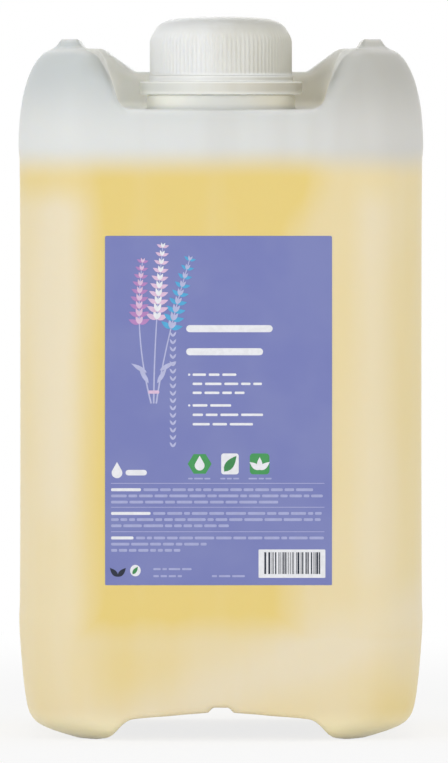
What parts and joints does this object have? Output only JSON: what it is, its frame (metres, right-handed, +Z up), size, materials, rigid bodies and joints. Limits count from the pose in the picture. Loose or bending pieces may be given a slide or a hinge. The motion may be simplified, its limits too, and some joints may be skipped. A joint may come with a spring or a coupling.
{
  "type": "hand soap refill canister",
  "caption": "Translucent stackable canister of liquid hand soap with a recessed screw cap, a hollow carrying handle in a grip pocket and a printed front label.",
  "frame": {"origin": "centre of the footprint, on the surface that the canister stands on", "axes": "+Z up, -Y towards the label and the neck, +X to the right seen from the label side"},
  "size_m": [0.1906, 0.2154, 0.3397],
  "materials": {
    "canister": "natural translucent blow-moulded polyethylene, satin",
    "cap": "natural milky injection-moulded polyethylene, satin",
    "liner": "foamed polyethylene sealing disc",
    "label": "printed film label, satin",
    "soap": "clear yellow liquid soap"
  },
  "bodies": {
    "canister": {"canister": "canister", "tamper_band": "cap", "front_label": "label", "soap_fill": "soap"},
    "liner": {"cap_liner": "liner"},
    "cap": {"screw_cap": "cap"}
  },
  "joints": [
    {"name": "cap_lift", "type": "slide", "parent": "canister", "child": "liner", "axis": [0, 0, 1], "range_m": [0, 0.0301]},
    {"name": "cap_turn", "type": "hinge", "parent": "liner", "child": "cap", "pos_m": [0, -0.064, 0.3121], "axis": [0, 0, 1], "range_deg": [0, 1800]}
  ],
  "couplings": [
    {"joint": "cap_lift", "follows": "cap_turn", "m_per_rad": 0.00095493}
  ]
}
